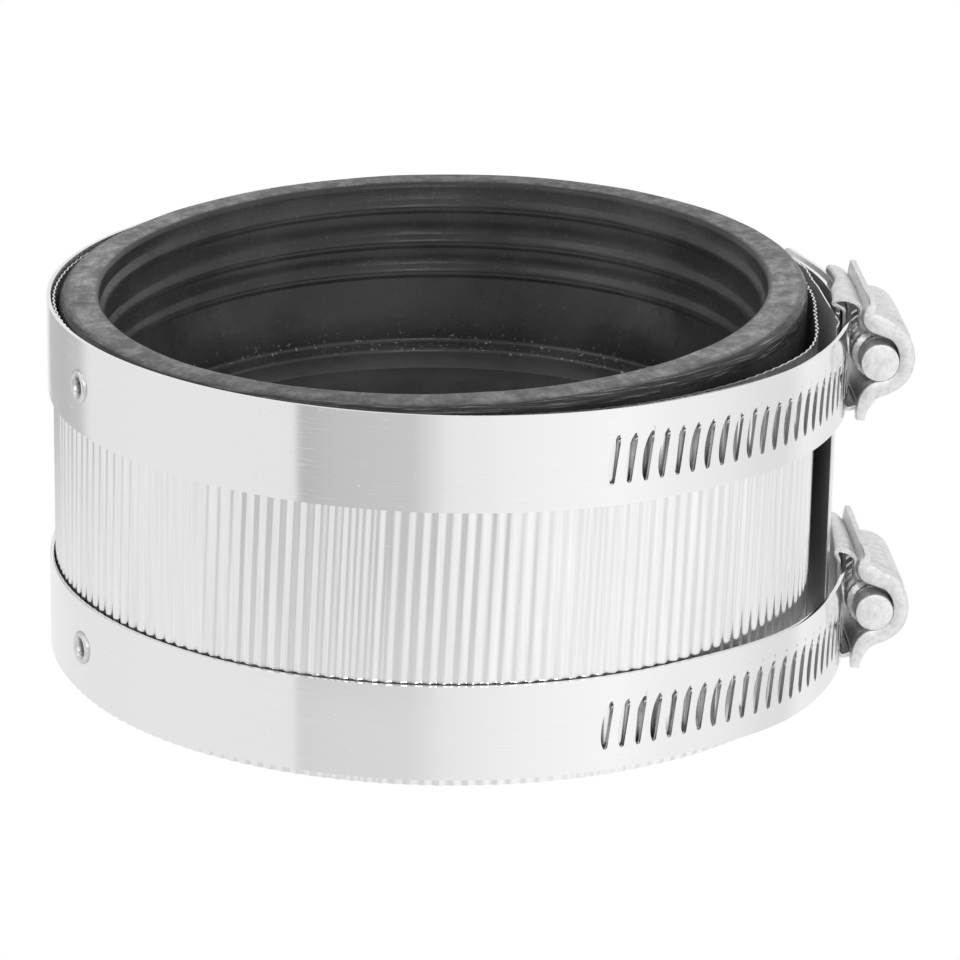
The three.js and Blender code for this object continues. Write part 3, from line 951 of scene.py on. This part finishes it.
def rolled_steel(name, base, rough, streak, scratch, upright):
    """Bright rolled strip: streaks and scratches run round the coupling, short nicks lie across them.

    streak and scratch add to the roughness, upright is the strength of upright streaks from the press.
    Walls of slots are sheared, matt and darker, and faces turned to the axis are matt.
    """
    n = Material(name)
    x, y, z, radius, angle = n.position()
    arc = angle * BAND_R
    streaks = n.noise(n.vector(arc * 0.02, z * 3.0, 0.0), 1.0, 4.0, 0.6)
    scratches = n.noise(n.vector(arc * 0.09, z * 9.0, 3.0), 1.0, 2.0, 0.5)
    scratches = n.ramp(scratches, (0.66, 0.0), (0.72, 1.0))
    nicks = n.noise(n.vector(arc, z * 3.0, 9.0), 0.5, 4.0, 0.62)
    nicks = n.ramp(nicks, (0.66, 0.0), (0.71, 1.0))
    marks = n.math("MAXIMUM", scratches, nicks)
    blotch = n.noise(n.vector(arc, z, radius), 0.09, 3.0, 0.6)
    pressed = n.noise(n.vector(arc * 1.3, z * 0.03, 6.0), 1.0, 4.0, 0.7)

    facing = n.normal()
    outward_share = (facing[0] * x + facing[1] * y) / radius
    inner_face = n.below(outward_share, -0.5)
    sheared = n.ramp(abs(outward_share), (0.45, 1.0), (0.8, 0.0))
    from_band = abs(abs(z - BANDS_MIDDLE) - BANDS_APART / 2)
    sheared = sheared * n.below(from_band, SLOT_HALF_LENGTH + 1)

    roughness = streaks * streak + rough + blotch * 0.04 + marks * scratch
    roughness = roughness + sheared * 0.3 + inner_face * 0.3
    tone = streaks * 0.05 + (base - 0.025) + (pressed - 0.5) * upright - sheared * 0.35
    n.bump(streaks + marks * 0.8, 0.12, 0.02)
    return n.set(Base_Color=n.vector(tone, tone, tone * 1.004), Metallic=1.0, Roughness=roughness)


def tumbled_steel(name, base, rough):
    """Matt pressed or turned steel: fine grain, bruises from tumbling and thin bright scratches."""
    n = Material(name)
    x, y, z = n.position()[:3]
    where = n.vector(x, y, z)
    grain = n.noise(where, 3.2, 4.0, 0.65)
    patches = n.noise(where, 0.8, 5.0, 0.7)
    scratches = n.noise(n.vector(x + y, (z - y) * 6.0, 0.0), 0.9, 2.0, 0.5)
    scratches = n.ramp(scratches, (0.66, 0.0), (0.72, 1.0))
    bruises = n.ramp(patches, (0.34, base - 0.12), (0.5, base), (0.66, base + 0.08))
    tone = bruises - 0.04 + grain * 0.08 + scratches * 0.1
    roughness = patches * 0.3 + (rough - 0.15) + grain * 0.1
    n.bump(patches * 1.2 + grain * 0.4 - scratches * 0.25, 0.5, 0.12)
    return n.set(Base_Color=n.vector(tone, tone, tone), Metallic=1.0, Roughness=roughness)


# The finish of the rubber's rim reaches this far down its walls.
RIM_FINISH_DEPTH = 2.8
# The scuffed outer edge starts this far inside the outer wall.
SCUFFS_WITHIN = 0.8
# Painted light: the rim is painted lightest along this azimuth and across from it, and darkest between.
PAINTED_LIGHT_AZIMUTH = math.radians(165)
# Distance from the sleeve's middle over which the specks above the stop are ramped.
SPECKS_REACH = 12.0


def moulded_rubber(name):
    """Black rubber: a dusty cut rim with painted light that is lightest along one azimuth, scuffed outer
    edges and dusty specks in the corner by the stop.
    """
    n = Material(name)
    x, y, z, radius, angle = n.position(SLEEVE_X)
    where = n.vector(x, y, z)
    from_middle = abs(z - SLEEVE_MIDDLE)
    near_rim = n.above(from_middle, (SLEEVE_HIGH[2] - SLEEVE_LOW[2]) / 2 - RIM_FINISH_DEPTH)
    level = n.ramp(abs(n.normal()[2]), (0.86, 0.0), (0.985, 1.0))
    rim = level * near_rim
    outer_edge = n.above(radius, SLEEVE_R - SCUFFS_WITHIN) * near_rim

    cut_marks = n.noise(n.vector(angle * 60.0, radius * 0.15, 0.0), 1.0, 4.0, 0.7)
    rubbed = n.noise(n.vector(angle * 7.0, radius * 3.5, z * 3.5), 1.0, 4.0, 0.7)
    cloud = n.noise(where, 0.14, 5.0, 0.62)
    mottle = n.noise(where, 0.4, 6.0, 0.75)
    # Painted light: the rim's tone is scaled by a lobe that is lightest along one azimuth and across from
    # it. The noise it scales is real dust, cut marks and rubbing.
    lobes = n.math("COSINE", angle - PAINTED_LIGHT_AZIMUTH)
    painted_rim_light = lobes * lobes * 0.42 + 0.52
    dirt = cut_marks * 0.16 + rubbed * 0.16 + cloud * 0.4 + mottle * 0.58
    rim_tone = n.ramp(dirt, (0.48, 0.06), (0.63, 0.17), (0.8, 0.42)) * painted_rim_light
    scuff_tone = n.ramp(rubbed, (0.45, 0.012), (0.58, 0.05), (0.7, 0.26))

    corner = n.ramp(from_middle / SPECKS_REACH, (0.16, 0.0), (0.2, 1.0), (0.26, 1.0), (0.45, 0.1))
    in_upper_bore = n.above(z, SLEEVE_MIDDLE) * n.below(radius, BORE_R + SLEEVE_OVAL + 1)
    specks = n.ramp(n.noise(where, 1.5, 1.0, 0.4), (0.67, 0.0), (0.72, 1.0)) * (corner * in_upper_bore)
    wall_tone = n.ramp(n.noise(where, 0.06, 1.5, 0.5), (0.36, 0.026), (0.66, 0.05)) + specks * 0.22
    tone = n.mix(rim, n.mix(outer_edge, wall_tone, scuff_tone), rim_tone)

    swell = n.noise(where, 0.16, 2.0, 0.5)
    fine = n.noise(where, 2.4, 5.0, 0.7)
    n.bump(swell * 3.0 + fine * 0.14 + (rubbed + cut_marks) * (near_rim * 0.6), 0.5, 0.16)
    roughness = rim * 0.35 + (cloud * 0.3 + 0.14)
    colour = n.vector(tone, tone, tone * 1.02)
    return n.set(Base_Color=colour, Metallic=0.0, Roughness=roughness, Specular_IOR_Level=rim * 0.2 + 0.3)


# ---------------------------------------------------------------- the object

RUBBER = moulded_rubber("black_rubber")
SHIELD_STEEL = rolled_steel("shield_steel", base=0.86, rough=0.12, streak=0.06, scratch=0.12, upright=0.3)
BAND_STEEL = rolled_steel("band_steel", base=0.86, rough=0.03, streak=0.04, scratch=0.42, upright=0.0)
EYELET_STEEL = tumbled_steel("eyelet_steel", base=0.7, rough=0.3)
PRESSED_STEEL = tumbled_steel("pressed_steel", base=0.79, rough=0.4)
SCREW_STEEL = tumbled_steel("screw_steel", base=0.82, rough=0.4)

finish_piece(build_sleeve(), "rubber_sleeve", "sleeve", RUBBER)
finish_piece(build_shield(), "corrugated_shield", "jacket", SHIELD_STEEL)
for clamp in CLAMPS:
    name = clamp.name
    finish_piece(build_band(clamp), name + "_band", "jacket", BAND_STEEL)
    finish_piece(build_eyelet(clamp), name + "_eyelet", "jacket", EYELET_STEEL)
    finish_piece(build_housing(clamp), name + "_housing", name + "_head", PRESSED_STEEL)
    finish_piece(build_saddle(clamp), name + "_saddle", name + "_head", PRESSED_STEEL)
    finish_piece(build_screw(clamp), name + "_screw", name + "_worm", SCREW_STEEL)


# ---------------------------------------------------------------- studio

# Tone of the studio by the azimuth a reflection leaves in: (azimuth, tone) round the whole circle.
SURROUND = (
    (-180, 0.90), (-92, 0.89), (-66, 1.0), (-38, 1.07), (-14, 0.97), (4, 0.86), (18, 0.84),
    (34, 0.98), (55, 0.90), (110, 0.90), (150, 0.88), (180, 0.90),
)
SURROUND_PEAK = 1.1
# Grey screens: (azimuth, share of the light kept). On the floor they fade in between two distances.
FRONT_SCREEN = ((-131.5, 1.0), (-130.5, 0.60), (-120, 0.68), (-98, 0.73), (-88, 1.0))
LEFT_SCREEN = ((104, 1.0), (112, 0.62), (130, 0.62), (141, 0.70), (148, 1.0))
SCREENS_FADE_IN = (100, 190)
FRONT_SCREEN_NEAR = 0.45
FAR_AWAY = 1000.0
FLOOR_HALF = 4000.0
# The foot of the lower head hangs a little below the shield, and the floor is under it.
FLOOR_LEVEL = -1.2


def by_azimuth(n, share, stops, peak=1.0):
    """Tone from stops of (azimuth, tone); share runs from 0 to 1 round the circle."""
    return n.ramp(share, *[((degrees + 180) / TURN, tone / peak) for degrees, tone in stops]) * peak


def studio_tone(n, x, y, distance):
    """Tone of the light met along x, y at a distance in millimetres. The camera itself sees white."""
    share = n.math("ARCTAN2", y, x) / (2 * math.pi) + 0.5
    fade = n.add("ShaderNodeMapRange")
    fade.inputs["From Min"].default_value, fade.inputs["From Max"].default_value = SCREENS_FADE_IN
    n.link(distance, fade.inputs["Value"])
    far = Value(n, fade.outputs[0])
    front_fade = far * (1 - FRONT_SCREEN_NEAR) + FRONT_SCREEN_NEAR
    front = 1.0 - (1.0 - by_azimuth(n, share, FRONT_SCREEN)) * front_fade
    left = 1.0 - (1.0 - by_azimuth(n, share, LEFT_SCREEN)) * far
    tone = by_azimuth(n, share, SURROUND, SURROUND_PEAK) * (front * left)
    return n.math("MAXIMUM", tone, n.output("ShaderNodeLightPath", "Is Camera Ray"))


def build_world():
    """Studio walls, above the floor's horizon."""
    world = bpy.data.worlds.new("studio")
    world.use_nodes = True
    bpy.context.scene.world = world
    n = Nodes(world.node_tree)
    x, y, z = n.split(n.output("ShaderNodeTexCoord", "Generated"))
    n.link(studio_tone(n, x, y, FAR_AWAY), n.tree.nodes["Background"].inputs["Color"])


def build_floor():
    """Pale floor that glows like the walls, so that it meets them without a line."""
    corners = ((-1, -1), (1, -1), (1, 1), (-1, 1))
    points = [(FLOOR_HALF * a, FLOOR_HALF * b, FLOOR_LEVEL) for a, b in corners]
    floor = place("floor", points, [(0, 1, 2, 3)])
    n = Material("floor_paint")
    x, y, z = n.split(n.output("ShaderNodeNewGeometry", "Incoming"))
    length = n.add("ShaderNodeVectorMath", operation="LENGTH")
    n.link(n.output("ShaderNodeNewGeometry", "Position"), length.inputs[0])
    distance = Value(n, length.outputs["Value"]) / MM
    glow = studio_tone(n, x * -1.0, y * -1.0, distance)
    n.set(Base_Color=(0, 0, 0, 1), Roughness=1.0, Specular_IOR_Level=0.0)
    paint = n.set(Emission_Color=glow, Emission_Strength=1.0)
    floor.data.materials.append(paint)


# Soft boxes, one before the coupling and one high on the left: name, place in metres, side, radiance.
SOFT_BOXES = (
    ("front_box", (0.1, -1.0, 0.7), 0.28, 9.0),
    ("left_box", (-0.9, -0.3, 1.1), 0.6, 1.5),
)


def build_lights():
    """The soft boxes, each turned towards the coupling."""
    for name, at, side, radiance in SOFT_BOXES:
        data = bpy.data.lights.new(name, "AREA")
        data.size = side
        data.energy = radiance * math.pi * side**2
        light = bpy.data.objects.new(name, data)
        light.location = at
        light.rotation_mode = "QUATERNION"
        light.rotation_quaternion = (-Vector(at)).to_track_quat("-Z", "Y")
        bpy.context.scene.collection.objects.link(light)


# The camera stands before the coupling, looks a little down, is rolled a little, and aims right of the
# sleeve's axis and below its rim. Lengths are in millimetres and angles in degrees.
CAMERA_DISTANCE = 798.0
CAMERA_ELEVATION = 18.78
CAMERA_ROLL = 1.01
CAMERA_LENS = 172.27
CAMERA_SENSOR = 36.0
CAMERA_CLIP = (0.01, 20.0)
LOOK_RIGHT = 8.54
LOOK_BELOW_RIM = 36.2


def build_camera():
    """The camera, aimed from the frame's own places."""
    data = bpy.data.cameras.new("camera")
    data.lens = CAMERA_LENS
    data.sensor_width = CAMERA_SENSOR
    data.clip_start, data.clip_end = CAMERA_CLIP
    camera = bpy.data.objects.new("camera", data)
    bpy.context.scene.collection.objects.link(camera)
    aim = Vector((SLEEVE_X + LOOK_RIGHT, 0.0, SLEEVE_HIGH[2] - LOOK_BELOW_RIM))
    target = aim * MM + RING_AXIS
    tilt = Matrix.Rotation(math.radians(90 - CAMERA_ELEVATION), 3, "X")
    camera.location = target + tilt @ Vector((0, 0, CAMERA_DISTANCE * MM))
    camera.rotation_euler = (tilt @ Matrix.Rotation(math.radians(CAMERA_ROLL), 3, "Z")).to_euler()
    bpy.context.scene.camera = camera


build_world()
build_floor()
build_lights()
build_camera()
bpy.context.scene.view_settings.view_transform = "Standard"
